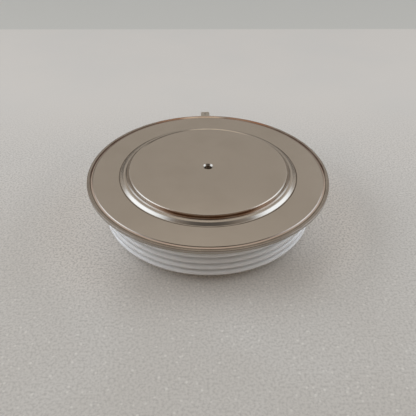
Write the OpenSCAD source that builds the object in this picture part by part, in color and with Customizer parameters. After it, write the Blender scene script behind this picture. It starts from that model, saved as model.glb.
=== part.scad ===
// Disc thyristor in a pressure-contact capsule: two copper poles, a ribbed ceramic ring between
// them, and the silicon stack with its gate contact clamped inside.
// The origin is the centre of the anode contact face, and +Z points to the cathode.

/* [Poles] */
// Thickness over the two contact faces
capsule_h = 26; // [25:0.5:36]
// Diameter of the flat contact face on each pole
contact_d = 73; // [68:0.5:76]
// Chamfer round each contact face
contact_chamfer = 0.35; // [0.2:0.05:0.8]
// Height of each contact face over the ledge of its flange
contact_stand = 1.4; // [0.8:0.1:2]
// Width of the pole's shoulder that carries the flange ledge
shoulder_w = 1.65; // [1:0.05:2.4]
// Thickness of the anode pole
anode_pole_t = 10; // [8:0.25:11]
// Chamfer round the anode pole's inner face
anode_chamfer = 0.5; // [0.2:0.1:1]
// Chamfer round the cathode pole's inner face
cathode_chamfer = 2; // [0.5:0.1:2.5]
// Diameter of the locating hole in each contact face
locating_d = 3.6; // [3:0.1:5]
// Depth of the locating hole's straight wall
locating_depth = 2; // [1.5:0.1:2.5]
// Countersink at the mouth of the locating hole
locating_chamfer = 0.65; // [0.2:0.05:0.8]

/* [Flanges] */
// How far the welded rim stands out past the sheds
rim_over = 6.85; // [5.85:0.05:14]
// Thickness of the cathode flange
cathode_flange_t = 0.8; // [0.6:0.05:0.9]
// Thickness of the weld flange on the ceramic
weld_flange_t = 0.7; // [0.6:0.05:1]
// Thickness of the anode flange
anode_flange_t = 0.8; // [0.6:0.05:0.9]
// Rise of the formed step from the flat of a flange to its ledge
step_rise = 1.2; // [1.1:0.05:1.6]
// Ledge past the pole's shoulder before the step begins
ledge_over = 0.4; // [0.1:0.05:0.8]
// Slope of the step's straight flank
step_slope = 42; // [28:1:45]
// Inside radius of the two bends that lead into the step
bend_r = 0.6; // [0.3:0.05:0.8]
// Depth of the cold-weld groove pressed into both sides of the rim
groove_depth = 0.3; // [0.1:0.05:0.35]
// Radius of the groove's round floor
groove_r = 2; // [1:0.1:2.4]
// Distance from the rim's edge to the middle of the groove
groove_inset = 1.8; // [1.3:0.1:3]
// Rounding of the rim's outer corners
rim_round = 0.25; // [0.1:0.05:0.4]
// Setback of the anode flange's edge from the ceramic wall
anode_flange_setback = 0.4; // [0.1:0.1:2]
// Gap filled by braze round a pole or a tube
braze_gap = 0.05; // [0.02:0.01:0.1]

/* [Ceramic] */
// Flat of a flange left inside the ceramic's bore
bore_land = 1.55; // [1:0.05:3]
// Wall of the ceramic between its sheds
ceramic_wall = 4.5; // [4:0.25:6]
// How far the sheds stand out of the wall
shed_depth = 2.1; // [1.8:0.1:2.6]
// Radius of a shed's round nose
shed_nose_r = 1; // [0.8:0.05:1]
// Spacing of the sheds
shed_pitch = 3.3; // [3.3:0.05:4.5]
// Fillet at the root of a shed
shed_fillet = 0.6; // [0.3:0.05:0.6]
// Plain wall left above the top shed
neck_h = 2; // [1:0.1:3]

/* [Silicon stack] */
// Thickness of the anode molybdenum disc
anode_moly_t = 2.2; // [1.6:0.1:3]
// Thickness of the silicon wafer
wafer_t = 0.7; // [0.4:0.05:1]
// Thickness of the cathode molybdenum disc
cathode_moly_t = 1.6; // [1.2:0.1:2.2]
// Setback of the anode molybdenum disc from the side of the pole
anode_moly_setback = 0.2; // [0:0.1:1]
// Setback of the wafer from the edge of the anode molybdenum disc
wafer_setback = 0.5; // [0.3:0.1:1]
// Width of the bevel ground on the wafer's edge
wafer_bevel = 0.5; // [0.2:0.1:1]
// Setback of the cathode molybdenum disc from the edge of the contact face
cathode_moly_setback = 1; // [0.8:0.1:2]
// How far the edge ring laps over the wafer
edge_lap = 0.9; // [0.4:0.1:1]
// Thickness of the edge ring over the wafer
edge_lip_t = 0.6; // [0.3:0.1:0.9]
// How far the edge ring stands out past the anode molybdenum disc
edge_over = 1.2; // [0.6:0.1:1.6]
// Clearance of the centring ring round the pole and inside the ceramic
ring_clear = 0.3; // [0.2:0.05:0.5]
// How far the centring ring reaches past the anode pole's inner face
ring_lap = 1.2; // [0.5:0.1:1.5]

/* [Gate contact] */
// Diameter of the gate pin's tip
pin_tip_d = 2; // [1.4:0.1:3]
// Diameter of the gate pin's head
pin_head_d = 5.4; // [5:0.1:6]
// Thickness of the gate pin's head
pin_head_t = 2.2; // [2:0.1:2.8]
// Height of the gate pin's head over the cathode pole's inner face
pin_head_lift = 0.3; // [0.1:0.05:0.5]
// Clearance of the gate pin's head inside the bush
pin_clear = 0.4; // [0.1:0.05:0.6]
// Length of the gate spring as fitted
spring_l = 3; // [2.6:0.1:3.8]
// Diameter of the gate spring's wire
spring_wire_d = 0.5; // [0.3:0.05:0.55]
// Setback of the gate spring's outside from the edge of the pin's head
spring_setback = 0.2; // [0.1:0.05:0.5]
// Active turns of the gate spring
spring_turns = 2; // [1:0.5:2]
// Thickness of the washer over the gate spring
washer_t = 0.4; // [0.2:0.05:0.6]
// Wall of the gate bush
bush_wall = 1.8; // [1.2:0.1:2.4]
// Thickness of the gate bush's closed end
bush_end_t = 0.9; // [0.6:0.1:1.2]
// Clearance round the gate bush
bush_clear = 0.1; // [0.05:0.05:0.2]
// Wall of the gate bush's nose in the cathode molybdenum disc
bush_nose_wall = 0.8; // [0.5:0.1:1]
// Gap under the gate bush's nose
bush_nose_gap = 0.2; // [0.1:0.05:0.4]

/* [Gate lead] */
// Direction of the gate terminal round the axis, from +X
gate_angle = 110; // [105:1:255]
// Height of the gate lead over the cathode pole's inner face
lead_rise = 1.45; // [1.3:0.05:1.9]
// Diameter of the gate lead's wire
lead_d = 0.9; // [0.6:0.05:1]
// Outside diameter of the insulating sleeve on the gate lead
sleeve_d = 1.7; // [1.4:0.1:2]
// Clearance of the wire in its sleeve
sleeve_fit = 0.05; // [0.03:0.01:0.1]
// Clearance round the sleeve in the pole's slot and at its two ends
sleeve_clear = 0.3; // [0.1:0.05:0.4]

/* [Terminals] */
// Outside diameter of the gate tube through the ceramic
tube_d = 2.4; // [2.2:0.1:3]
// Wall of the gate tube
tube_wall = 0.5; // [0.3:0.05:0.55]
// How far the gate tube stands into the ceramic's bore
tube_inside = 0.6; // [0.3:0.1:1.5]
// Diameter of the collar round the gate tube
collar_d = 6; // [5:0.25:7]
// Thickness of the collar round the gate tube
collar_t = 1; // [0.6:0.1:1.5]
// Depth of the collar's flat seat in the ceramic wall
collar_seat = 0.4; // [0.3:0.05:0.8]
// Clearance round the collar in its seat
collar_clear = 0.3; // [0.1:0.05:0.6]
// How far the gate tube stands out of the ceramic wall
tube_stand = 10.3; // [8:0.1:12]
// Width of the gate blade
gate_blade_w = 2.8; // [2:0.1:3.4]
// Length of the gate blade
gate_blade_l = 6.4; // [5:0.1:9]
// Hole in the gate blade
gate_blade_hole_d = 1.2; // [0.8:0.1:1.4]
// Length of the gate ferrule on the tube
ferrule_l = 4.5; // [3:0.1:5]
// Wall of the gate ferrule
ferrule_wall = 0.5; // [0.4:0.05:1]
// Thickness of the gate ferrule's closed end
ferrule_end_t = 0.8; // [0.5:0.1:1.2]
// Reach of the cathode blade past the rim
aux_reach = 7.7; // [5:0.1:12]
// Width of the cathode blade
aux_blade_w = 4.8; // [4:0.1:6.3]
// Hole in the cathode blade
aux_blade_hole_d = 1.4; // [1:0.1:2]
// Gap between the sheds and the welded end of the cathode blade
aux_gap = 0.6; // [0.2:0.1:2]
// Thickness of both blades
blade_t = 0.8; // [0.5:0.05:1]
// Chamfer at the corners of both blades' tips
blade_chamfer = 0.7; // [0.3:0.1:0.9]
// Distance from a blade's tip to its hole
blade_hole_inset = 2.4; // [1.8:0.1:3.2]

/* [Hidden] */
$fn = 96;

// Overshoot of a cutting tool past the face that it cuts
cut = 1;
// Facets along each bend of a flange
bend_steps = 8;

// Radii from the axis outwards
contact_r = contact_d / 2;
pole_wall_r = contact_r + contact_chamfer;
pole_body_r = pole_wall_r + shoulder_w;
ledge_r = pole_body_r + ledge_over;
flat_r = ledge_r + max(step_run(cathode_flange_t), step_run(anode_flange_t));
bore_r = flat_r + bore_land;
wall_r = bore_r + ceramic_wall;
shed_r = wall_r + shed_depth;
rim_r = shed_r + rim_over;

// Heights of the housing from the anode contact face upwards
flange_drop = contact_stand + step_rise;
ceramic_z0 = flange_drop + anode_flange_t;
cathode_flange_z = capsule_h - flange_drop - cathode_flange_t;
ceramic_z1 = cathode_flange_z - weld_flange_t;
ceramic_h = ceramic_z1 - ceramic_z0;
shed_count = floor((ceramic_h - 2 * shed_nose_r - neck_h) / shed_pitch) + 1;

// Heights of the silicon stack
anode_moly_z = anode_pole_t;
wafer_z = anode_moly_z + anode_moly_t;
cathode_moly_z = wafer_z + wafer_t;
cathode_pole_z = cathode_moly_z + cathode_moly_t;

// Radii of the silicon stack
anode_moly_r = pole_body_r - anode_moly_setback;
wafer_r = anode_moly_r - wafer_setback;
wafer_top_r = wafer_r - wafer_bevel;
cathode_moly_r = contact_r - cathode_moly_setback;

// Gate contact from the wafer upwards
pin_head_z = cathode_pole_z + pin_head_lift;
spring_z = pin_head_z + pin_head_t;
washer_z = spring_z + spring_l;
bush_end_z = washer_z + washer_t;
pocket_z = bush_end_z + bush_end_t;
bush_bore_r = pin_head_d / 2 + pin_clear;
bush_r = bush_bore_r + bush_wall;
bush_nose_r = bush_bore_r + bush_nose_wall;
gate_z = cathode_pole_z + lead_rise;

// Distances from the axis along the gate lead
tube_r0 = bore_r - tube_inside;
tube_r1 = wall_r + tube_stand;
blade_root_r = tube_r1 + ferrule_end_t;
blade_tip_r = blade_root_r + gate_blade_l;
seat_r = wall_r - collar_seat;

// Gate spring: facets round the wire and steps in each turn
wire_sides = 8;
turn_steps = 16;
// Pitch of the closed turn at each end of the spring, in wire diameters
closed_pitch = 1.06;

nickel = [0.66, 0.63, 0.58];
copper = [0.72, 0.45, 0.32];
ceramic_white = [0.93, 0.93, 0.92];
molybdenum = [0.55, 0.56, 0.58];
silicon_grey = [0.30, 0.32, 0.36];
rubber_red = [0.62, 0.30, 0.24];
ptfe_white = [0.88, 0.88, 0.86];
steel = [0.60, 0.60, 0.60];
silver = [0.80, 0.80, 0.78];

// Length of the step's straight flank on a flange of thickness t
function flank_l(t) = (step_rise - (2 * bend_r + t) * (1 - cos(step_slope))) / sin(step_slope);

// Width of the step, from the end of its ledge to the start of its flat
function step_run(t) = (2 * bend_r + t) * sin(step_slope) + flank_l(t) * cos(step_slope);

// Points along a bend of radius r about a centre, from one angle to another
function bend_points(centre, r, from, to) = [for (i = [0 : bend_steps])
    let (a = from + (to - from) * i / bend_steps)
    centre + r * [cos(a), sin(a)]];

// Points up the outer edge of a sheet of thickness t, with its upper corner cut for the rounding
function edge_points(edge, t) = [[edge, 0], [edge, t - rim_round], [edge - rim_round, t]];

// Rounding of that corner
module edge_rounding(edge, t) {
    translate([edge - rim_round, t - rim_round]) circle(r = rim_round);
}

// Flat sheet of thickness t between two radii
module strip_section(inner, edge, t) {
    polygon(concat([[inner, t], [inner, 0]], edge_points(edge, t)));
    edge_rounding(edge, t);
}

// Cold-weld groove in the upper face of a strip of thickness t
module groove_section(t) {
    translate([rim_r - groove_inset, t + groove_r - groove_depth]) circle(r = groove_r);
}

// Formed sheet: a ledge on the pole, a sloping step and a flat that runs out to radius edge.
// The flat's inner face is at height 0 and the ledge is above it.
module flange_section(t, edge) {
    root_r = pole_wall_r + braze_gap;
    foot_r = ledge_r + step_run(t);
    ledge_bend = [ledge_r, step_rise - bend_r];
    foot_bend = [foot_r, t + bend_r];
    polygon(concat(
        [[root_r, step_rise + t], [root_r, step_rise]],
        bend_points(ledge_bend, bend_r, 90, 90 - step_slope),
        bend_points(foot_bend, bend_r + t, 270 - step_slope, 270),
        edge_points(edge, t),
        bend_points(foot_bend, bend_r, 270, 270 - step_slope),
        bend_points(ledge_bend, bend_r + t, 90 - step_slope, 90)
    ));
    edge_rounding(edge, t);
}

// Locating hole down into a face at height 0
module locating_hole() {
    translate([0, 0, -locating_chamfer - locating_depth])
        cylinder(d = locating_d, h = locating_depth + locating_chamfer + cut);
    translate([0, 0, -locating_chamfer])
        cylinder(r1 = locating_d / 2, r2 = locating_d / 2 + locating_chamfer, h = locating_chamfer);
}

// Turned pole with its contact face up at height 0 and its inner face at depth t
module pole_blank(t, flange_t, inner_chamfer) {
    shoulder_z = -contact_stand - flange_t;
    difference() {
        rotate_extrude() polygon([
            [0, -t],
            [pole_body_r - inner_chamfer, -t],
            [pole_body_r, -t + inner_chamfer],
            [pole_body_r, shoulder_z],
            [pole_wall_r, shoulder_z],
            [pole_wall_r, -contact_chamfer],
            [contact_r, 0],
            [0, 0]
        ]);
        locating_hole();
    }
}

// Rod or tube along the gate lead, between two distances from the axis
module gate_rod(d, from, to) {
    rotate([0, 0, gate_angle])
        translate([from, 0, gate_z])
            rotate([0, 90, 0])
                cylinder(d = d, h = to - from);
}

// Flat blade along +X with a chamfered tip at tip and a hole near it, centred on height 0
module blade(root, tip, w, hole_d) {
    translate([0, 0, -blade_t / 2]) linear_extrude(blade_t) difference() {
        polygon([
            [root, -w / 2],
            [tip - blade_chamfer, -w / 2],
            [tip, -w / 2 + blade_chamfer],
            [tip, w / 2 - blade_chamfer],
            [tip - blade_chamfer, w / 2],
            [root, w / 2]
        ]);
        translate([tip - blade_hole_inset, 0]) circle(d = hole_d);
    }
}

// Housing

module anode_pole() {
    color(nickel) mirror([0, 0, 1]) pole_blank(anode_pole_t, anode_flange_t, anode_chamfer);
}

module anode_flange() {
    color(nickel)
        translate([0, 0, ceramic_z0]) mirror([0, 0, 1])
            rotate_extrude() flange_section(anode_flange_t, wall_r - anode_flange_setback);
}

// One shed on the ceramic wall, with its middle at height 0
module shed_section() {
    nose_x = shed_r - shed_nose_r;
    translate([wall_r, -shed_nose_r]) square([nose_x - wall_r, 2 * shed_nose_r]);
    translate([nose_x, 0]) circle(r = shed_nose_r);
    for (side = [0, 1]) mirror([0, side])
        translate([wall_r, shed_nose_r]) difference() {
            square(shed_fillet);
            translate([shed_fillet, shed_fillet]) circle(r = shed_fillet);
        }
}

module ceramic_housing() {
    color(ceramic_white) difference() {
        rotate_extrude() intersection() {
            union() {
                translate([bore_r, ceramic_z0]) square([ceramic_wall, ceramic_h]);
                for (i = [0 : shed_count - 1])
                    translate([0, ceramic_z0 + shed_nose_r + i * shed_pitch]) shed_section();
            }
            translate([bore_r, ceramic_z0]) square([shed_r, ceramic_h]);
        }
        gate_rod(tube_d + 2 * braze_gap, bore_r - cut, shed_r);
        gate_rod(collar_d + 2 * collar_clear, seat_r, shed_r + cut);
    }
}

module weld_flange() {
    color(nickel)
        translate([0, 0, cathode_flange_z]) mirror([0, 0, 1])
            rotate_extrude() difference() {
                strip_section(bore_r, rim_r, weld_flange_t);
                groove_section(weld_flange_t);
            }
}

module cathode_flange() {
    color(nickel)
        translate([0, 0, cathode_flange_z])
            rotate_extrude() difference() {
                flange_section(cathode_flange_t, rim_r);
                groove_section(cathode_flange_t);
            }
}

module cathode_pole() {
    slot_w = sleeve_d + 2 * sleeve_clear;
    color(nickel) difference() {
        translate([0, 0, capsule_h])
            pole_blank(capsule_h - cathode_pole_z, cathode_flange_t, cathode_chamfer);
        translate([0, 0, cathode_pole_z - cut])
            cylinder(r = bush_r + bush_clear, h = pocket_z - cathode_pole_z + cut);
        rotate([0, 0, gate_angle])
            translate([0, -slot_w / 2, cathode_pole_z - cut])
                cube([pole_body_r + cut, slot_w, lead_rise + slot_w / 2 + cut]);
    }
}

// Silicon stack

module anode_moly_disc() {
    color(molybdenum) translate([0, 0, anode_moly_z]) cylinder(r = anode_moly_r, h = anode_moly_t);
}

module silicon_wafer() {
    color(silicon_grey)
        translate([0, 0, wafer_z]) cylinder(r1 = wafer_r, r2 = wafer_top_r, h = wafer_t);
}

module wafer_edge_ring() {
    lip_r = wafer_top_r - edge_lap;
    lip_z = cathode_moly_z + edge_lip_t;
    color(rubber_red) rotate_extrude() polygon([
        [wafer_r, wafer_z],
        [anode_moly_r + edge_over, wafer_z],
        [anode_moly_r + edge_over, lip_z],
        [lip_r, lip_z],
        [lip_r, cathode_moly_z],
        [wafer_top_r, cathode_moly_z]
    ]);
}

module cathode_moly_disc() {
    color(molybdenum) translate([0, 0, cathode_moly_z]) difference() {
        cylinder(r = cathode_moly_r, h = cathode_moly_t);
        translate([0, 0, -cut]) cylinder(r = bush_nose_r + bush_clear, h = cathode_moly_t + 2 * cut);
    }
}

module centring_ring() {
    color(ptfe_white) translate([0, 0, ceramic_z0]) difference() {
        ring_h = anode_pole_t + ring_lap - ceramic_z0;
        cylinder(r = bore_r - ring_clear, h = ring_h);
        translate([0, 0, -cut]) cylinder(r = pole_body_r + ring_clear, h = ring_h + 2 * cut);
    }
}

// Gate contact

module gate_bush() {
    nose_z = cathode_moly_z + bush_nose_gap;
    color(ptfe_white) difference() {
        union() {
            translate([0, 0, cathode_pole_z]) cylinder(r = bush_r, h = pocket_z - cathode_pole_z);
            translate([0, 0, nose_z]) cylinder(r = bush_nose_r, h = cathode_pole_z - nose_z + cut);
        }
        translate([0, 0, nose_z - cut]) cylinder(r = bush_bore_r, h = bush_end_z - nose_z + cut);
        rotate([0, 0, gate_angle])
            translate([0, -sleeve_d / 2, nose_z - cut])
                cube([bush_r + cut, sleeve_d, gate_z + sleeve_d / 2 - nose_z + cut]);
    }
}

module gate_washer() {
    color(steel) translate([0, 0, washer_z]) cylinder(d = pin_head_d, h = washer_t);
}

// Height of the spring's wire after a number of turns: a closed turn at each end, open turns between
function spring_height(turn, rise, closed) =
    turn < 1 ? turn * closed
    : turn < 1 + spring_turns ? closed + (turn - 1) * rise
    : closed + spring_turns * rise + (turn - 1 - spring_turns) * closed;

module gate_spring() {
    wire_r = spring_wire_d / 2;
    coil_r = pin_head_d / 2 - spring_setback - wire_r;
    closed = closed_pitch * spring_wire_d;
    travel = spring_l - spring_wire_d;
    rise = (travel - 2 * closed) / spring_turns;
    rings = (spring_turns + 2) * turn_steps;
    points = [for (i = [0 : rings], s = [0 : wire_sides - 1])
        let (turn = i / turn_steps,
             a = 360 * turn,
             b = 360 * (s + 0.5) / wire_sides,
             r = coil_r + wire_r * cos(b))
        [r * cos(a), r * sin(a), wire_r * sin(b) + spring_height(turn, rise, closed)]];
    sides = [for (i = [0 : rings - 1], s = [0 : wire_sides - 1])
        let (next = (s + 1) % wire_sides)
        [i * wire_sides + s, i * wire_sides + next,
         (i + 1) * wire_sides + next, (i + 1) * wire_sides + s]];
    first = [for (s = [wire_sides - 1 : -1 : 0]) s];
    last = [for (s = [0 : wire_sides - 1]) rings * wire_sides + s];
    color(steel) translate([0, 0, spring_z + wire_r])
        polyhedron(points = points, faces = concat(sides, [first, last]));
}

module gate_pin() {
    color(silver) {
        translate([0, 0, cathode_moly_z]) cylinder(d = pin_tip_d, h = pin_head_z - cathode_moly_z + cut);
        translate([0, 0, pin_head_z]) cylinder(d = pin_head_d, h = pin_head_t);
    }
}

module gate_lead() {
    color(silver) difference() {
        gate_rod(lead_d, 0, tube_r1);
        translate([0, 0, pin_head_z]) cylinder(d = pin_head_d, h = pin_head_t);
    }
}

module lead_sleeve() {
    color(ptfe_white) difference() {
        gate_rod(sleeve_d, bush_r + sleeve_clear, tube_r0 - sleeve_clear);
        gate_rod(lead_d + 2 * sleeve_fit, bush_r - cut, tube_r0 + cut);
    }
}

// Terminals

module gate_tube() {
    color(nickel) difference() {
        gate_rod(tube_d, tube_r0, tube_r1);
        gate_rod(tube_d - 2 * tube_wall, tube_r0 - cut, tube_r1 + cut);
    }
}

module gate_collar() {
    color(nickel) difference() {
        gate_rod(collar_d, seat_r, seat_r + collar_t);
        gate_rod(tube_d + 2 * braze_gap, seat_r - cut, seat_r + collar_t + cut);
    }
}

module gate_terminal() {
    color(nickel) difference() {
        union() {
            gate_rod(tube_d + 2 * ferrule_wall, blade_root_r - ferrule_l, blade_root_r);
            rotate([0, 0, gate_angle])
                translate([0, 0, gate_z])
                    blade(tube_r1, blade_tip_r, gate_blade_w, gate_blade_hole_d);
        }
        gate_rod(tube_d + 2 * braze_gap, blade_root_r - ferrule_l - cut, tube_r1);
    }
}

module aux_cathode_terminal() {
    color(nickel)
        translate([0, 0, ceramic_z1 - blade_t / 2]) rotate([0, 0, 90])
            blade(shed_r + aux_gap, rim_r + aux_reach, aux_blade_w, aux_blade_hole_d);
}

anode_pole();
anode_flange();
ceramic_housing();
weld_flange();
cathode_flange();
cathode_pole();
anode_moly_disc();
silicon_wafer();
wafer_edge_ring();
cathode_moly_disc();
centring_ring();
gate_bush();
gate_washer();
gate_spring();
gate_pin();
gate_lead();
lead_sleeve();
gate_tube();
gate_collar();
gate_terminal();
aux_cathode_terminal();
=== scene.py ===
"""Looks of a disc thyristor in a pressure-contact capsule, dressed over its CAD frame, in metres.

The sizes in the classes are millimetres in the CAD model's frame: the origin is the centre of the anode
contact face and +Z points to the cathode.
"""

import logging
import math
from dataclasses import dataclass
from enum import Enum
from typing import Any, Mapping, Optional, Sequence, Union

import bmesh
import bpy
from mathutils import Matrix, Vector


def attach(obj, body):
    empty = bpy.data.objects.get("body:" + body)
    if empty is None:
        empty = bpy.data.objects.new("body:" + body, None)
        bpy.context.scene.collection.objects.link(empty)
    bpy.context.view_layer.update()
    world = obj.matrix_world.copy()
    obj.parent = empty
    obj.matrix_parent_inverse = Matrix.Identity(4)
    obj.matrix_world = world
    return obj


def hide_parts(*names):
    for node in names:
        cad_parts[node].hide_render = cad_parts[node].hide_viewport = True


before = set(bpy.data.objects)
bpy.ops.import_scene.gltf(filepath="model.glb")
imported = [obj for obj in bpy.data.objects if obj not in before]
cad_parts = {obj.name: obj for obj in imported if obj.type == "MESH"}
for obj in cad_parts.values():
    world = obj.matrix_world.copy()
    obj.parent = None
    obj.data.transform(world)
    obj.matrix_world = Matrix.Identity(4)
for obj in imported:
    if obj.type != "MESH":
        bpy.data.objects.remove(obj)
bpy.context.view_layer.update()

LOG = logging.getLogger("capsule")
MM = 0.001
BODY = "root"
# Lengths that count as nothing, as one point, as below a level and as a closed seam.
TINY = 1e-9
MERGE = 1e-8
NUDGE = 1e-7
SEAM = 2e-6
# Angles in degrees past which an edge stays sharp, and the turn that brings +Z to +X.
CREASE = 28.0
FERRULE_CREASE = 40.0
THIN_CREASE = 50.0
TIPPED = Matrix.Rotation(math.pi / 2.0, 4, "Y")
Colour = tuple[float, float, float]
Corner = tuple[float, float, float]
Ray = tuple[float, float, float]
Point = tuple[float, float]


@dataclass(frozen=True)
class Layout:
    """Sizes that the pieces share, in millimetres, and the radii and heights that follow from them."""

    height: float = 26.0
    contact_r: float = 36.5
    contact_chamfer: float = 0.35
    contact_stand: float = 1.4
    shoulder: float = 1.65
    ledge_over: float = 0.4
    step_rise: float = 1.2
    step_slope: float = 42.0
    bend_r: float = 0.6
    sheet: float = 0.8
    weld_sheet: float = 0.7
    bore_land: float = 1.55
    ceramic_wall: float = 4.5
    shed_depth: float = 2.1
    rim_over: float = 6.85
    gate_angle: float = 110.0
    gate_z: float = 15.95

    @property
    def pole_wall_r(self) -> float:
        """Radius of a pole's wall beside its contact face."""
        return self.contact_r + self.contact_chamfer

    @property
    def pole_body_r(self) -> float:
        """Radius of a pole below its shoulder."""
        return self.pole_wall_r + self.shoulder

    @property
    def ledge_r(self) -> float:
        """Radius where a flange's ledge ends."""
        return self.pole_body_r + self.ledge_over

    @property
    def foot_r(self) -> float:
        """Radius where a flange's flat starts, past the two bends and the flank of its step."""
        slope, bends = math.radians(self.step_slope), 2.0 * self.bend_r + self.sheet
        flank = (self.step_rise - bends * (1.0 - math.cos(slope))) / math.sin(slope)
        return self.ledge_r + bends * math.sin(slope) + flank * math.cos(slope)

    @property
    def bore_r(self) -> float:
        """Radius of the ceramic's bore."""
        return self.foot_r + self.bore_land

    @property
    def wall_r(self) -> float:
        """Radius of the ceramic's wall between its sheds."""
        return self.bore_r + self.ceramic_wall

    @property
    def shed_r(self) -> float:
        """Radius of the sheds."""
        return self.wall_r + self.shed_depth

    @property
    def rim_r(self) -> float:
        """Radius of the welded rim."""
        return self.shed_r + self.rim_over

    @property
    def low(self) -> float:
        """Height of the ceramic's foot, on the anode flange."""
        return self.contact_stand + self.step_rise + self.sheet

    @property
    def flat_z(self) -> float:
        """Height of the weld between the two flanges of the rim."""
        return self.height - self.low

    @property
    def high(self) -> float:
        """Height of the ceramic's top, under the weld flange."""
        return self.flat_z - self.weld_sheet


LAYOUT = Layout()


# Node trees


class Signal:
    """One value in a node tree. Arithmetic on it adds Math nodes."""

    def __init__(self, bench: "NodeBench", socket: bpy.types.NodeSocket) -> None:
        """Keeps the tree's bench and the socket that carries the value."""
        self.bench = bench
        self.socket = socket

    def math(self, operation: str, *others: Any) -> "Signal":
        """Adds a Math node with this value first and the other operands after it."""
        return self.bench.math(operation, self, *others)

    def __add__(self, other: Any) -> "Signal":
        """Sum, in either order."""
        return self.math("ADD", other)

    def __sub__(self, other: Any) -> "Signal":
        """Difference."""
        return self.math("SUBTRACT", other)

    def __rsub__(self, other: Any) -> "Signal":
        """Difference from a number in front."""
        return self.bench.math("SUBTRACT", other, self)

    def __mul__(self, other: Any) -> "Signal":
        """Product, in either order."""
        return self.math("MULTIPLY", other)

    def __truediv__(self, other: Any) -> "Signal":
        """Quotient."""
        return self.math("DIVIDE", other)

    __radd__ = __add__
    __rmul__ = __mul__


class NodeBench:
    """Adds nodes to one node tree and links them."""

    def __init__(self, tree: bpy.types.NodeTree) -> None:
        """Keeps the tree."""
        self.tree = tree

    @staticmethod
    def pick(sockets: Any, key: Union[str, int]) -> bpy.types.NodeSocket:
        """Finds a socket by its place, identifier or name.

        Args:
            sockets: A node's inputs or outputs.
            key: The place, the identifier or the name.

        Returns:
            The socket.
        """
        if isinstance(key, int):
            return sockets[key]
        for socket in sockets:
            if socket.identifier == key:
                return socket
        return next(socket for socket in sockets if socket.name == key and socket.enabled)

    def feed(self, socket: bpy.types.NodeSocket, value: Any) -> None:
        """Links a signal to a socket, or sets the socket.

        Args:
            socket: The socket.
            value: A signal, a number, a colour or another setting.
        """
        if isinstance(value, Signal):
            self.tree.links.new(value.socket, socket)
        elif isinstance(value, tuple) and socket.type == "RGBA":
            socket.default_value = (*value, 1.0)
        else:
            socket.default_value = value

    def add(
        self,
        kind: str,
        settings: Optional[Mapping[str, Any]] = None,
        inputs: Optional[Mapping[Union[str, int], Any]] = None,
    ) -> bpy.types.Node:
        """Adds a node, sets it and then feeds its sockets.

        Args:
            kind: The node's type.
            settings: Its settings. The setting "stops" holds a ramp's (place, colour) pairs.
            inputs: Values, or signals to link, for its sockets.

        Returns:
            The node.
        """
        node = self.tree.nodes.new(kind)
        for name, value in (settings or {}).items():
            if name == "stops":
                elements = node.color_ramp.elements
                while len(elements) < len(value):
                    elements.new(1.0)
                for element, (place, colour) in zip(elements, value):
                    element.position = place
                    element.color = (*colour, 1.0)
            else:
                setattr(node, name, value)
        for key, value in (inputs or {}).items():
            self.feed(self.pick(node.inputs, key), value)
        return node

    def out(self, node: bpy.types.Node, key: Union[str, int] = 0) -> Signal:
        """Wraps one of a node's outputs."""
        return Signal(self, self.pick(node.outputs, key))

    def math(self, operation: str, *operands: Any) -> Signal:
        """Adds a Math node for values or numbers and returns its result."""
        return self.out(self.add("ShaderNodeMath", {"operation": operation}, dict(enumerate(operands))))

    def vector_math(self, operation: str, *operands: Any, result: str = "Vector") -> Signal:
        """Adds a Vector Math node and returns the named result."""
        node = self.add("ShaderNodeVectorMath", {"operation": operation}, dict(enumerate(operands)))
        return self.out(node, result)

    def ramp(self, value: Signal, start: float, end: float) -> Signal:
        """Adds a smooth ramp.

        Args:
            value: What is compared.
            start: The value where the mask is 0.
            end: The value where the mask is 1.

        Returns:
            The mask.
        """
        falls = float(end < start)
        inputs = {"Value": value, "From Min": min(start, end), "From Max": max(start, end)}
        inputs.update({"To Min": falls, "To Max": 1.0 - falls})
        return self.out(self.add("ShaderNodeMapRange", {"interpolation_type": "SMOOTHSTEP"}, inputs))

    def band(self, value: Signal, low: float, high: float, soft: float) -> Signal:
        """Masks the values from low to high, with soft edges."""
        return self.ramp(value, low - soft, low + soft) * self.ramp(value, high + soft, high - soft)

    def towards(self, ray: Signal, aim: Ray, full: float, fades: float) -> Signal:
        """Masks the directions round an aim.

        Args:
            ray: The directions, each of length 1.
            aim: The direction in the middle, of length 1.
            full: Angle up to which the mask is 1, in degrees.
            fades: Angle from which it is 0, in degrees.

        Returns:
            The mask.
        """
        near = self.vector_math("DOT_PRODUCT", ray, aim, result="Value")
        return self.ramp(near, math.cos(math.radians(fades)), math.cos(math.radians(full)))

    def mix(self, share: Any, base: Any, over: Any) -> Signal:
        """Mixes two colours.

        Args:
            share: How much of the second shows.
            base: The first colour.
            over: The second colour.

        Returns:
            The mixed colour.
        """
        settings = {"data_type": "RGBA", "clamp_factor": True}
        node = self.add("ShaderNodeMix", settings, {"Factor_Float": share, "A_Color": base, "B_Color": over})
        return self.out(node, "Result_Color")


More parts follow.
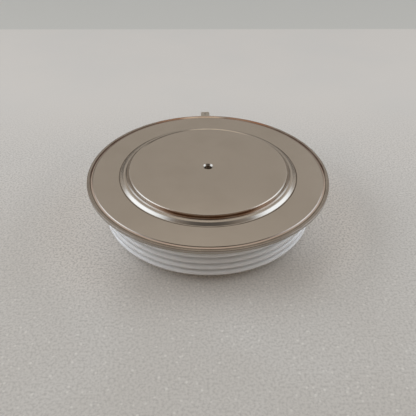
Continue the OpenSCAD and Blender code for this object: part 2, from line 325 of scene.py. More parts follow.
class ShaderBench(NodeBench):
    """The node tree of one material, with the patterns that the finishes share."""

    def __init__(self, name: str) -> None:
        """Starts a material with a shader and Object coordinates."""
        self.material = bpy.data.materials.new(name)
        self.material.use_nodes = True
        super().__init__(self.material.node_tree)
        self.tree.nodes.clear()
        self.shader = self.add("ShaderNodeBsdfPrincipled")
        self.add("ShaderNodeOutputMaterial", inputs={"Surface": self.out(self.shader)})
        self.place = self.out(self.add("ShaderNodeTexCoord"), "Object")
        self.across = self.vector_math("MULTIPLY", self.place, (1.0, 1.0, 0.0))
        self.radius = self.vector_math("LENGTH", self.across, result="Value")
        self.height = self.out(self.add("ShaderNodeSeparateXYZ", inputs={0: self.place}), "Z")

    def noise(self, scale: float, detail: float, rough: float, at: Optional[Signal] = None) -> Signal:
        """Adds noise, about 0.5 on average.

        Args:
            scale: Features for each metre.
            detail: Octaves of finer noise.
            rough: Strength of the finer octaves.
            at: The coordinates, or the piece's own.

        Returns:
            The noise.
        """
        inputs = {"Vector": at or self.place, "Scale": scale, "Detail": detail, "Roughness": rough}
        return self.out(self.add("ShaderNodeTexNoise", inputs=inputs))

    def specks(self, scale: float, size: float) -> Signal:
        """Masks small round specks, from the cells for each metre and a speck's radius in cells."""
        node = self.add("ShaderNodeTexVoronoi", inputs={"Vector": self.place, "Scale": scale})
        return self.ramp(self.out(node, "Distance"), size, 0.4 * size)

    def turning(self, pitch: float) -> Signal:
        """Adds fine, uneven rings left by a tool that turned the piece, from its feed in metres."""
        rings = self.out(self.add("ShaderNodeCombineXYZ", inputs={0: self.radius, 1: self.height}))
        return self.noise(1.0 / pitch, 1.0, 0.6, rings)

    def scratches(self, angle: float, scale: float) -> Signal:
        """Sparse hairlines in one direction.

        Args:
            angle: Direction of the lines, in radians.
            scale: Lines for each metre.

        Returns:
            A mask, 1 on a line.
        """
        mapping = {"Vector": self.place, "Rotation": (0.0, 0.0, angle), "Scale": (1.0, 0.022, 1.0)}
        turned = self.out(self.add("ShaderNodeMapping", {"vector_type": "POINT"}, mapping))
        return self.ramp(self.noise(scale, 1.0, 0.4, turned), 0.72, 0.80)

    def bump(self, height: Signal, depth: float, strength: float) -> None:
        """Raises the surface by a pattern, from its depth in metres and how strongly it tilts the surface."""
        node = self.add("ShaderNodeBump", inputs={"Height": height, "Distance": depth, "Strength": strength})
        self.set(Normal=self.out(node, "Normal"))

    def set(self, **inputs: Any) -> None:
        """Sets or links the shader's sockets, an underscore standing for a space in a name."""
        for name, value in inputs.items():
            self.feed(self.shader.inputs[name.replace("_", " ")], value)


# Finishes


class Grain(Enum):
    """How a small or inner piece was worked: the noise, depth in mm and squeeze along Z of its marks."""

    DRAWN = (1900.0, 2.0, 0.6), 0.008, 5.0
    LAPPED = (2600.0, 2.0, 0.6), 0.008, 1.0
    MOULDED = (1100.0, 3.0, 0.6), 0.03, 1.0
    POLISHED = (500.0, 1.0, 0.4), 0.002, 1.0


@dataclass(frozen=True)
class Arc:
    """The stretch of a ring-shaped mark that shows: its middle and half widths, in degrees round the axis."""

    middle: float
    full: float
    fades: float

    def mask(self, s: ShaderBench) -> Signal:
        """Masks the stretch on a piece."""
        middle = math.radians(self.middle)
        aim = (math.cos(middle), math.sin(middle), 0.0)
        return s.towards(s.vector_math("NORMALIZE", s.across), aim, self.full, self.fades)


@dataclass(frozen=True)
class Ring:
    """A ring-shaped mark between two radii, under a height or on an arc if they are given, in millimetres."""

    colour: Colour
    share: float
    inner: float
    outer: float
    soft: float = 0.12
    below: Optional[float] = None
    arc: Optional[Arc] = None
    fade: float = 0.15

    def mask(self, s: ShaderBench) -> Signal:
        """Builds the mark's mask.

        Args:
            s: The material's bench.

        Returns:
            The mask, 1 on the mark.
        """
        mask = s.band(s.radius, self.inner * MM, self.outer * MM, self.soft * MM)
        if self.below is not None:
            mask = mask * s.ramp(s.height, self.below * MM, (self.below - self.fade) * MM)
        return mask * self.arc.mask(s) if self.arc else mask


@dataclass(frozen=True)
class NickelPlate:
    """Satin nickel plate on the turned and formed copper of the housing."""

    name: str
    rings: tuple[Ring, ...] = ()
    colour: Colour = (0.585, 0.522, 0.45)
    cloud: Colour = (0.52, 0.458, 0.388)
    tarnish: Colour = (0.17, 0.10, 0.062)
    roughness: float = 0.21
    tool_feed: float = 0.22
    mark_depth: float = 0.0005

    def material(self) -> bpy.types.Material:
        """Builds the material.

        Returns:
            The material.
        """
        s = ShaderBench(self.name)
        cloud = s.noise(60.0, 3.0, 0.55)
        fine = s.noise(1500.0, 2.0, 0.6)
        rings = s.turning(self.tool_feed * MM)
        lines = s.scratches(0.5, 420.0).math("MAXIMUM", s.scratches(2.2, 360.0))
        colour = s.mix(s.ramp(cloud, 0.35, 0.75) * 0.5, self.colour, self.cloud)
        colour = s.mix(s.specks(210.0, 0.05) * 0.25, colour, self.tarnish)
        patches = 0.75 + 0.25 * s.ramp(s.noise(140.0, 2.0, 0.5), 0.4, 0.65)
        for ring in self.rings:
            colour = s.mix(ring.mask(s) * patches * ring.share, colour, ring.colour)
        s.set(Base_Color=colour, Metallic=1.0)
        s.set(Roughness=self.roughness + 0.08 * (cloud - 0.5) + 0.03 * (fine - 0.5) - 0.03 * lines)
        s.bump(0.4 * fine + 0.3 * rings - 0.5 * lines, self.mark_depth * MM, 0.4)
        return s.material


@dataclass(frozen=True)
class CeramicGlaze:
    """White glaze on the alumina ring, with a little dust between its sheds."""

    name: str
    wall_r: float
    colour: Colour = (0.73, 0.727, 0.725)
    dust: Colour = (0.68, 0.665, 0.645)
    speck: Colour = (0.42, 0.38, 0.33)
    roughness: float = 0.24
    dust_starts: float = 0.9
    dust_full: float = 0.05
    wave_depth: float = 0.02
    scatter: float = 3.2

    def material(self) -> bpy.types.Material:
        """Builds the material.

        Returns:
            The material.
        """
        s = ShaderBench(self.name)
        cloud = s.noise(90.0, 3.0, 0.55)
        waves = s.noise(420.0, 2.0, 0.5)
        root = s.ramp(s.radius, (self.wall_r + self.dust_starts) * MM, (self.wall_r + self.dust_full) * MM)
        colour = s.mix(root * (0.1 + 0.4 * cloud), self.colour, self.dust)
        colour = s.mix(s.specks(260.0, 0.05) * 0.3, colour, self.speck)
        s.set(Base_Color=colour, Metallic=0.0, IOR=1.55, Coat_Weight=0.4, Coat_Roughness=0.12)
        s.set(Subsurface_Weight=0.75, Subsurface_Radius=(1.0, 0.97, 0.95), Subsurface_Scale=self.scatter * MM)
        s.set(Roughness=self.roughness + 0.16 * root + 0.08 * (cloud - 0.5))
        s.bump(waves, self.wave_depth * MM, 0.35)
        return s.material


@dataclass(frozen=True)
class PlainFinish:
    """Finish of a terminal or an inner piece."""

    name: str
    colour: Colour
    shade: Colour
    metallic: float
    roughness: float
    grain: Grain

    def material(self) -> bpy.types.Material:
        """Builds the material.

        Returns:
            The material.
        """
        s = ShaderBench(self.name)
        cloud = s.noise(260.0, 3.0, 0.55)
        noise, depth, squeeze = self.grain.value
        mapping = {"Vector": s.place, "Scale": (1.0, 1.0, squeeze)}
        marks = s.noise(*noise, s.out(s.add("ShaderNodeMapping", inputs=mapping)))
        s.set(Base_Color=s.mix(s.ramp(cloud, 0.3, 0.75), self.colour, self.shade), Metallic=self.metallic)
        s.set(Roughness=self.roughness + 0.12 * (cloud - 0.5) + 0.06 * (marks - 0.5))
        s.bump(marks, depth * MM, 0.6)
        return s.material


@dataclass(frozen=True)
class PaleFloor:
    """Speckled floor with painted light and shadow far off and round the part, and a plain tone past a line
    at the back.
    """

    name: str
    near: Colour = (0.56, 0.528, 0.482)
    far: Colour = (0.69, 0.655, 0.61)
    cloud: Colour = (0.65, 0.63, 0.595)
    grain: Colour = (0.40, 0.375, 0.34)
    dark_speck: Colour = (0.30, 0.28, 0.26)
    light_speck: Colour = (0.82, 0.79, 0.73)
    back: Colour = (0.58, 0.57, 0.53)
    near_y: float = -110.0
    far_y: float = 50.0
    rough_y: float = 40.0
    smooth_y: float = 140.0
    crease_y: float = 276.0
    crease_w: float = 3.0
    grain_depth: float = 0.08
    # Painted shadow, warm, in front of the part; painted light along the ceramic's front edge and at both
    # sides.
    painted_shading: tuple[Ring, ...] = (
        Ring((0.60, 0.545, 0.485), 0.7, -100.0, 68.0, 16.0, arc=Arc(275.0, 25.0, 70.0)),
        Ring((0.93, 0.85, 0.77), 0.9, -100.0, 46.6, 1.4, arc=Arc(270.0, 45.0, 85.0)),
        Ring((0.87, 0.825, 0.77), 0.95, -100.0, 76.0, 16.0, arc=Arc(186.0, 18.0, 60.0)),
        Ring((0.87, 0.825, 0.77), 0.95, -100.0, 74.5, 8.5, arc=Arc(6.0, 16.0, 62.0)),
    )

    def material(self) -> bpy.types.Material:
        """Builds the material.

        Returns:
            The material.
        """
        s = ShaderBench(self.name)
        grain = s.noise(1050.0, 2.0, 0.6)
        cloud = s.noise(14.0, 3.0, 0.5)
        spot = s.out(s.add("ShaderNodeSeparateXYZ", inputs={0: s.place}), "Y")
        # Painted light: paler far off.
        colour = s.mix(s.ramp(spot, self.near_y * MM, self.far_y * MM), self.near, self.far)
        colour = s.mix(s.ramp(cloud, 0.35, 0.7) * 0.5, colour, self.cloud)
        # Painted shadow and painted light round the part.
        for painted_patch in self.painted_shading:
            colour = s.mix(painted_patch.mask(s) * painted_patch.share, colour, painted_patch.colour)
        rough = s.ramp(spot, self.smooth_y * MM, self.rough_y * MM)
        colour = s.mix(s.ramp(grain, 0.38, 0.72) * rough * 0.64, colour, self.grain)
        colour = s.mix(s.specks(70.0, 0.03) * rough * 0.4, colour, self.dark_speck)
        colour = s.mix(s.specks(330.0, 0.22) * rough * 0.35, colour, self.light_speck)
        crease = s.ramp(spot, (self.crease_y - self.crease_w) * MM, self.crease_y * MM)
        colour = s.mix(crease, colour, self.back)
        s.set(Base_Color=colour, Roughness=0.55 + 0.2 * (grain - 0.5), Specular_IOR_Level=0.25)
        s.bump(grain, self.grain_depth * MM, 0.4)
        return s.material


class Finishes:
    """Every finish of the capsule, each made once."""

    def __init__(self) -> None:
        """Makes the materials."""
        # Painted shade for the pole's hole, the braze in front and stretches of the weld groove.
        braze_shade, hole_shade, groove_shade = (0.27, 0.155, 0.09), (0.085, 0.058, 0.036), (0.085, 0.034, 0.018)
        bare, lip, side = (0.74, 0.53, 0.43), (0.37, 0.325, 0.28), (0.43, 0.40, 0.36)
        front = Arc(272.0, 22.0, 55.0)
        # Painted shade in the pole's hole and on its wall in front; a painted highlight and shade on its back
        # edge.
        hole = Ring(hole_shade, 1.0, -1.0, 1.78, 0.03, 25.42)
        sink = Ring((0.42, 0.37, 0.31), 0.8, 1.84, 2.4, 0.05)
        wall = Ring((0.54, 0.47, 0.40), 0.9, 36.55, 40.0, 0.06, 25.98)
        front_wall_shade = Ring((0.54, 0.385, 0.275), 0.95, 36.55, 40.0, 0.06, 25.98, front)
        edge = Ring((0.68, 0.61, 0.53), 0.5, 36.15, 36.45, 0.1)
        painted_highlight = Ring((1.0, 0.87, 0.72), 1.0, 35.5, 37.0, 0.25, arc=Arc(80.0, 12.0, 30.0))
        painted_shade = Ring((0.19, 0.155, 0.125), 1.0, 35.5, 37.0, 0.2, arc=Arc(126.0, 8.0, 26.0))
        # Painted shade at the step's foot; the rim: lip, cold-weld tarnish, outer edge, and painted shade and
        # highlight.
        foot = Ring((0.12, 0.09, 0.068), 1.0, 41.0, 41.45, 0.12)
        weld = (
            Ring(lip, 0.85, 54.9, 57.0, 0.25),
            Ring((0.13, 0.08, 0.05), 0.85, 54.15, 54.7, 0.22),
            Ring(bare, 0.45, 53.3, 54.05),
            Ring((0.22, 0.155, 0.11), 0.7, 55.72, 55.95, 0.04),
            # Painted shade on the groove's inner edge in front, lighter at the front right.
            Ring((0.15, 0.105, 0.075), 0.8, 53.05, 53.4, 0.1, arc=Arc(270.0, 22.0, 48.0)),
            Ring((0.40, 0.325, 0.27), 0.5, 53.0, 53.7, 0.12, arc=Arc(315.0, 9.0, 22.0)),
            # Painted shade deepening the tarnish in the groove at the back left and back right.
            Ring(groove_shade, 1.0, 54.1, 54.95, 0.2, arc=Arc(147.0, 28.0, 46.0)),
            Ring(groove_shade, 1.0, 54.1, 54.95, 0.2, arc=Arc(30.0, 22.0, 38.0)),
            Ring((0.50, 0.25, 0.15), 0.85, 54.5, 55.7, 0.2, arc=Arc(64.0, 6.0, 17.0)),
            Ring((0.52, 0.29, 0.19), 0.85, 54.5, 55.7, 0.2, arc=Arc(108.0, 4.0, 14.0)),
            # A painted highlight on the groove at the back.
            Ring((0.86, 0.68, 0.54), 0.95, 54.0, 55.5, 0.2, arc=Arc(92.0, 6.0, 14.0)),
            Ring(side, 0.8, 55.98, 57.0, 0.03),
        )
        # The braze round the pole, browner and darker in front with painted shade.
        braze = (
            Ring((0.33, 0.275, 0.225), 0.9, 30.0, 38.25, 0.12),
            Ring(braze_shade, 0.9, 30.0, 38.25, 0.12, arc=front),
        )
        self.pole = NickelPlate("nickel_pole", (edge, wall, front_wall_shade, painted_highlight, painted_shade, sink, hole)).material()
        self.anode_pole = NickelPlate("nickel_anode_pole").material()
        self.cathode_flange = NickelPlate("nickel_cathode_flange", (*weld, foot, *braze)).material()
        self.weld_flange = NickelPlate("nickel_weld_flange", weld).material()
        self.anode_flange = NickelPlate("nickel_anode_flange", braze).material()
        self.ceramic = CeramicGlaze("white_glaze", LAYOUT.wall_r).material()
        self.blade = PlainFinish(
            "nickel_blade", (0.65, 0.605, 0.53), (0.53, 0.485, 0.42), 1.0, 0.34, Grain.DRAWN
        ).material()
        self.molybdenum = PlainFinish(
            "lapped_molybdenum", (0.50, 0.50, 0.51), (0.43, 0.43, 0.44), 1.0, 0.42, Grain.LAPPED
        ).material()
        self.silicon = PlainFinish(
            "polished_silicon", (0.30, 0.32, 0.36), (0.26, 0.28, 0.32), 1.0, 0.12, Grain.POLISHED
        ).material()
        self.rubber = PlainFinish(
            "silicone_rubber", (0.52, 0.20, 0.14), (0.44, 0.16, 0.11), 0.0, 0.62, Grain.MOULDED
        ).material()
        self.ptfe = PlainFinish(
            "white_ptfe", (0.85, 0.85, 0.83), (0.79, 0.79, 0.77), 0.0, 0.48, Grain.MOULDED
        ).material()
        self.steel = PlainFinish(
            "spring_steel", (0.56, 0.56, 0.57), (0.46, 0.46, 0.47), 1.0, 0.28, Grain.DRAWN
        ).material()
        self.silver = PlainFinish(
            "silver_plate", (0.82, 0.81, 0.78), (0.72, 0.70, 0.66), 1.0, 0.24, Grain.POLISHED
        ).material()


# Mesh work


def rounded(corners: Sequence[Corner], steps: int = 6) -> list[Point]:
    """Rounds the corners of a closed outline.

    Args:
        corners: Points (radius, height, rounding) in order round the outline.
        steps: Facets along each rounding.

    Returns:
        The outline's points.
    """
    points: list[Point] = []
    count = len(corners)
    for i, (x, y, fillet) in enumerate(corners):
        here = Vector((x, y))
        before = Vector(corners[i - 1][:2]) - here
        after = Vector(corners[(i + 1) % count][:2]) - here
        if fillet <= 0.0 or before.length < TINY or after.length < TINY:
            points.append((x, y))
            continue
        before.normalize()
        after.normalize()
        half = before.angle(after) / 2.0
        reach = fillet / math.tan(half)
        middle = here + (before + after).normalized() * (fillet / math.sin(half))
        start = here + before * reach - middle
        end = here + after * reach - middle
        turn = math.atan2(start.x * end.y - start.y * end.x, start.dot(end))
        for k in range(steps + 1):
            a = turn * k / steps
            c, s = math.cos(a), math.sin(a)
            points.append((middle.x + start.x * c - start.y * s, middle.y + start.x * s + start.y * c))
    return points


def raised(corners: Sequence[Corner], height: float, up: float = 1.0) -> list[Corner]:
    """Shifts the corners of an outline to a height, upside down where up is -1."""
    return [(r, height + up * z, rounding) for r, z, rounding in corners]


def clean(bm: bmesh.types.BMesh) -> None:
    """Merges the doubles of a working mesh and turns its faces outwards."""
    bmesh.ops.remove_doubles(bm, verts=bm.verts, dist=MERGE)
    bmesh.ops.recalc_face_normals(bm, faces=bm.faces)


def finish_mesh(bm: bmesh.types.BMesh, name: str, crease: float = CREASE) -> bpy.types.Object:
    """Turns a working mesh into an object with clean normals and shading.

    Args:
        bm: The working mesh, which is freed.
        name: The piece's name.
        crease: Edges sharper than this angle, in degrees, stay sharp.

    Returns:
        The object, linked to the scene.
    """
    clean(bm)
    mesh = bpy.data.meshes.new(name)
    bm.to_mesh(mesh)
    bm.free()
    return shade(add_object(name, mesh), crease)


def add_object(name: str, data: bpy.types.ID) -> bpy.types.Object:
    """Links a new object for a mesh, a curve, a light or a camera to the scene."""
    piece = bpy.data.objects.new(name, data)
    bpy.context.scene.collection.objects.link(piece)
    return piece


def shade(piece: bpy.types.Object, crease: float) -> bpy.types.Object:
    """Shades a piece smooth, with its edges past the crease angle, in degrees, kept sharp."""
    piece.data.shade_smooth()
    piece.data.set_sharp_from_angle(angle=math.radians(crease))
    return piece


def lathe(name: str, corners: Sequence[Corner], steps: int = 6, turns: int = 288) -> bpy.types.Object:
    """Turns a closed outline round the axis.

    Args:
        name: The piece's name.
        corners: The outline's corners (radius, height, rounding), in millimetres.
        steps: Facets along each rounding.
        turns: Facets round the axis.

    Returns:
        The turned piece.
    """
    bm = bmesh.new()
    angles = [2.0 * math.pi * i / turns for i in range(turns)]
    rings = []
    for r, z in rounded(corners, steps):
        if r < TINY:
            rings.append([bm.verts.new((0.0, 0.0, z * MM))])
        else:
            rings.append([bm.verts.new((r * math.cos(a) * MM, r * math.sin(a) * MM, z * MM)) for a in angles])
    for inner, outer in zip(rings, rings[1:] + rings[:1]):
        for i in range(turns):
            j = (i + 1) % turns
            if len(inner) == 1 and len(outer) == 1:
                break
            if len(inner) == 1:
                bm.faces.new((inner[0], outer[i], outer[j]))
            elif len(outer) == 1:
                bm.faces.new((inner[i], inner[j], outer[0]))
            else:
                bm.faces.new((inner[i], inner[j], outer[j], outer[i]))
    return finish_mesh(bm, name)


class Fit(Enum):
    """What a second shape does to a piece."""

    CUT = "DIFFERENCE"
    JOINED = "UNION"


def combine(
    piece: bpy.types.Object, other: bpy.types.Object, fit: Fit, crease: float = CREASE
) -> bpy.types.Object:
    """Cuts a second shape out of a piece, or joins it on.

    Args:
        piece: The piece.
        other: The second shape, which is removed.
        fit: What it does.
        crease: Edges sharper than this angle, in degrees, stay sharp.

    Returns:
        The piece with its new mesh.
    """
    modifier = piece.modifiers.new(fit.name, "BOOLEAN")
    modifier.operation = fit.value
    modifier.solver = "EXACT"
    modifier.object = other
    bake(piece)
    bpy.data.objects.remove(other)
    return shade(piece, crease)


def lay(piece: bpy.types.Object, angle: float, height: float, first: Matrix) -> bpy.types.Object:
    """Moves a piece to its place, within its mesh.

    Args:
        piece: The piece, made along +X once it has had its first turn.
        angle: Its direction round the axis, in degrees.
        height: Its height, in millimetres.
        first: The first turn.

    Returns:
        The piece.
    """
    turn = Matrix.Rotation(math.radians(angle), 4, "Z") @ first
    piece.data.transform(Matrix.Translation((0.0, 0.0, height * MM)) @ turn)
    return piece


def along_gate(piece: bpy.types.Object, first: Matrix = TIPPED) -> bpy.types.Object:
    """Lays a piece that was made along +Z, or along +X with no first turn, along the gate lead."""
    return lay(piece, LAYOUT.gate_angle, LAYOUT.gate_z, first)


def bake(piece: bpy.types.Object) -> bpy.types.Object:
    """Makes what a piece's modifiers give its plain mesh, and removes them."""
    graph = bpy.context.evaluated_depsgraph_get()
    mesh = bpy.data.meshes.new_from_object(piece.evaluated_get(graph), depsgraph=graph)
    piece.modifiers.clear()
    piece.data = mesh
    return piece


def dress(piece: bpy.types.Object, material: bpy.types.Material, node: str) -> bpy.types.Object:
    """Gives a piece its finish and its place in the frame.

    Args:
        piece: The piece.
        material: Its finish.
        node: The CAD node that it stands for.

    Returns:
        The piece.
    """
    piece.data.materials.clear()
    piece.data.materials.append(material)
    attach(piece, BODY)
    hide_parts(node)
    LOG.info("%s: %d faces, %s", piece.name, len(piece.data.polygons), material.name)
    return piece


class GeometryBench(NodeBench):
    """A Geometry Nodes tree with named sizes."""

    def __init__(self, name: str, material: bpy.types.Material) -> None:
        """Starts a tree that takes and gives a geometry."""
        super().__init__(bpy.data.node_groups.new(name, "GeometryNodeTree"))
        self.material = material
        self.values: dict[str, Union[int, float]] = {}
        self.tree.interface.new_socket("Geometry", in_out="INPUT", socket_type="NodeSocketGeometry")
        self.tree.interface.new_socket("Geometry", in_out="OUTPUT", socket_type="NodeSocketGeometry")
        self.entry = self.add("NodeGroupInput")
        self.exit = self.add("NodeGroupOutput")

    def size(self, name: str, value: Union[int, float]) -> Signal:
        """Adds a named input.

        Args:
            name: The input's name.
            value: Its value on this piece.

        Returns:
            The input as a signal.
        """
        kind = "NodeSocketInt" if isinstance(value, int) else "NodeSocketFloat"
        socket = self.tree.interface.new_socket(name, in_out="INPUT", socket_type=kind)
        self.values[socket.identifier] = value
        return self.out(self.entry, socket.identifier)

    def vector(self, x: Any = 0.0, y: Any = 0.0, z: Any = 0.0) -> Signal:
        """Joins three values into a vector."""
        return self.out(self.add("ShaderNodeCombineXYZ", inputs={0: x, 1: y, 2: z}))

    def line(self, start: Signal, end: Signal) -> Signal:
        """Adds a straight edge between two points."""
        inputs = {"Count": 2, "Start Location": start, "Offset": end}
        return self.out(self.add("GeometryNodeMeshLine", {"mode": "END_POINTS"}, inputs))

    def join(self, *parts: Signal) -> Signal:
        """Joins geometries."""
        node = self.add("GeometryNodeJoinGeometry")
        for part in parts:
            self.feed(node.inputs[0], part)
        return self.out(node)

    def run(self, result: Signal, name: str, base: Optional[bpy.types.Mesh] = None) -> bpy.types.Object:
        """Ends the tree, runs it and keeps a plain mesh.

        Args:
            result: The finished geometry.
            name: The piece's name.
            base: The mesh that the tree starts from.

        Returns:
            The piece.
        """
        real = self.out(self.add("GeometryNodeRealizeInstances", inputs={"Geometry": result}))
        dressed = self.add("GeometryNodeSetMaterial", inputs={"Geometry": real, "Material": self.material})
        self.feed(self.exit.inputs[0], self.out(dressed))
        piece = add_object(name, base or bpy.data.meshes.new(name))
        modifier = piece.modifiers.new(name, "NODES")
        modifier.node_group = self.tree
        for identifier, value in self.values.items():
            modifier[identifier] = value
        bake(piece)
        bm = bmesh.new()
        bm.from_mesh(piece.data)
        clean(bm)
        bm.to_mesh(piece.data)
        bm.free()
        return piece


# Housing


@dataclass
class Poles:
    """The two turned copper poles with their contact faces."""

    finishes: Finishes
    shoulder_drop: float = LAYOUT.contact_stand + LAYOUT.sheet
    anode_t: float = 10.0
    anode_chamfer: float = 0.5
    cathode_foot: float = 14.5
    cathode_chamfer: float = 2.0
    hole_r: float = 1.8
    hole_depth: float = 2.0
    hole_chamfer: float = 0.65
    pocket_r: float = 5.0
    pocket_top: float = 21.3
    slot_w: float = 2.3
    slot_h: float = 2.6
    slot_over: float = 1.0

    def face(self) -> list[Corner]:
        """Corners from the hole's floor to the flange's shoulder, with the contact face at height 0."""
        floor = -self.hole_chamfer - self.hole_depth
        return [
            (0.0, floor, 0.0),
            (self.hole_r, floor, 0.12),
            (self.hole_r, -self.hole_chamfer, 0.06),
            (self.hole_r + self.hole_chamfer, 0.0, 0.06),
            (LAYOUT.contact_r, 0.0, 0.3),
            (LAYOUT.pole_wall_r, -LAYOUT.contact_chamfer, 0.3),
            (LAYOUT.pole_wall_r, -self.shoulder_drop, 0.05),
            (LAYOUT.pole_body_r, -self.shoulder_drop, 0.08),
        ]

    def cathode(self) -> bpy.types.Object:
        """Builds the cathode pole with the gate's pocket and slot.

        Returns:
            The pole.
        """
        corners = raised(self.face(), LAYOUT.height) + [
            (LAYOUT.pole_body_r, self.cathode_foot + self.cathode_chamfer, 0.1),
            (LAYOUT.pole_body_r - self.cathode_chamfer, self.cathode_foot, 0.1),
            (self.pocket_r, self.cathode_foot, 0.08),
            (self.pocket_r, self.pocket_top, 0.1),
            (0.0, self.pocket_top, 0.0),
        ]
        pole = lathe("cathode_pole_turned", corners)
        bm = bmesh.new()
        bmesh.ops.create_cube(bm, size=1.0)
        top, low = self.cathode_foot + self.slot_h, self.cathode_foot - self.slot_over
        reach = LAYOUT.pole_body_r + self.slot_over
        size = Vector((reach, self.slot_w, top - low)) * MM
        middle = Vector((reach / 2.0, 0.0, (top + low) / 2.0)) * MM
        turn = Matrix.Rotation(math.radians(LAYOUT.gate_angle), 4, "Z")
        bm.transform(turn @ Matrix.Translation(middle) @ Matrix.Diagonal((*size, 1.0)))
        pole = combine(pole, finish_mesh(bm, "slot_cutter"), Fit.CUT)
        return dress(pole, self.finishes.pole, "cathode_pole")

    def anode(self) -> bpy.types.Object:
        """Builds the anode pole, its contact face down.

        Returns:
            The pole.
        """
        corners = raised(self.face(), 0.0, -1.0) + [
            (LAYOUT.pole_body_r, self.anode_t - self.anode_chamfer, 0.1),
            (LAYOUT.pole_body_r - self.anode_chamfer, self.anode_t, 0.1),
            (0.0, self.anode_t, 0.0),
        ]
        pole = lathe("anode_pole_turned", corners)
        return dress(pole, self.finishes.anode_pole, "anode_pole")


@dataclass
class Flanges:
    """The formed cathode and anode flanges and the weld flange on the ceramic."""

    finishes: Finishes
    root_r: float = LAYOUT.pole_wall_r + 0.05
    dish: float = 0.02
    ledge_round: float = 1.8
    rim_round: float = 0.25
    groove_inset: float = 1.8
    groove_depth: float = 0.30
    groove_r: float = 2.0
    groove_steps: int = 12
    braze_h: float = 0.36
    braze_flat: float = 0.85
    braze_w: float = 1.45
    loop: float = 0.15
    anode_edge: float = LAYOUT.wall_r - 0.4

    def groove(self, top: float) -> list[Corner]:
        """Corners along the cold-weld groove, from its inner to its outer edge, in a face at height top."""
        half = math.acos(1.0 - self.groove_depth / self.groove_r)
        middle, steps, r = LAYOUT.rim_r - self.groove_inset, self.groove_steps, self.groove_r
        angles = [half * (2.0 * i / steps - 1.0) for i in range(steps + 1)]
        centre = top - self.groove_depth + r
        return [(middle + r * math.sin(a), centre - r * math.cos(a), 0.0) for a in angles]

    def formed(self, edge: float, groove: bool) -> list[Corner]:
        """Corners of a formed flange, its flat's inner face at height 0 and its ledge above.

        Args:
            edge: Radius of the outer edge.
            groove: Whether the flat carries the cold-weld groove.

        Returns:
            The corners.
        """
        lean = math.tan(math.radians(LAYOUT.step_slope) / 2.0)
        small, large = LAYOUT.bend_r, LAYOUT.bend_r + LAYOUT.sheet
        top = LAYOUT.step_rise + LAYOUT.sheet
        grooved = list(reversed(self.groove(LAYOUT.sheet))) if groove else []
        beside = [(grooved[-1][0] - self.loop, LAYOUT.sheet, 0.0)] if groove else []
        return [
            (self.root_r, LAYOUT.step_rise, 0.05),
            (LAYOUT.ledge_r + small * lean, LAYOUT.step_rise, small),
            (LAYOUT.foot_r - large * lean, 0.0, large),
            (edge, 0.0, 0.06),
            (edge, LAYOUT.sheet, self.rim_round),
            *grooved,
            *beside,
            (LAYOUT.foot_r + self.loop, LAYOUT.sheet, 0.0),
            (LAYOUT.foot_r - small * lean, LAYOUT.sheet, small),
            (LAYOUT.ledge_r + large * lean, top + self.dish, self.ledge_round),
            (self.root_r + self.braze_w, top - self.dish, 0.3),
            (self.root_r + self.braze_flat, top + self.braze_h, 0.35),
            (self.root_r, top + self.braze_h, 0.0),
        ]

    def cathode(self) -> bpy.types.Object:
        """Builds the cathode flange.

        Returns:
            The flange.
        """
        corners = raised(self.formed(LAYOUT.rim_r, True), LAYOUT.flat_z)
        flange = lathe("cathode_flange_formed", corners, 10, 360)
        return dress(flange, self.finishes.cathode_flange, "cathode_flange")

    def weld(self) -> bpy.types.Object:
        """Builds the weld flange, its groove underneath.

        Returns:
            The flange.
        """
        corners = [
            (LAYOUT.bore_r, 0.0, 0.05),
            (LAYOUT.rim_r, 0.0, 0.06),
            (LAYOUT.rim_r, LAYOUT.weld_sheet, self.rim_round),
            *reversed(self.groove(LAYOUT.weld_sheet)),
            (LAYOUT.bore_r, LAYOUT.weld_sheet, 0.05),
        ]
        flange = lathe("weld_flange_ring", raised(corners, LAYOUT.flat_z, -1.0), 8, 360)
        return dress(flange, self.finishes.weld_flange, "weld_flange")

    def anode(self) -> bpy.types.Object:
        """Builds the anode flange, its ledge downwards.

        Returns:
            The flange.
        """
        corners = raised(self.formed(self.anode_edge, False), LAYOUT.low, -1.0)
        flange = lathe("anode_flange_formed", corners, 8)
        return dress(flange, self.finishes.anode_flange, "anode_flange")


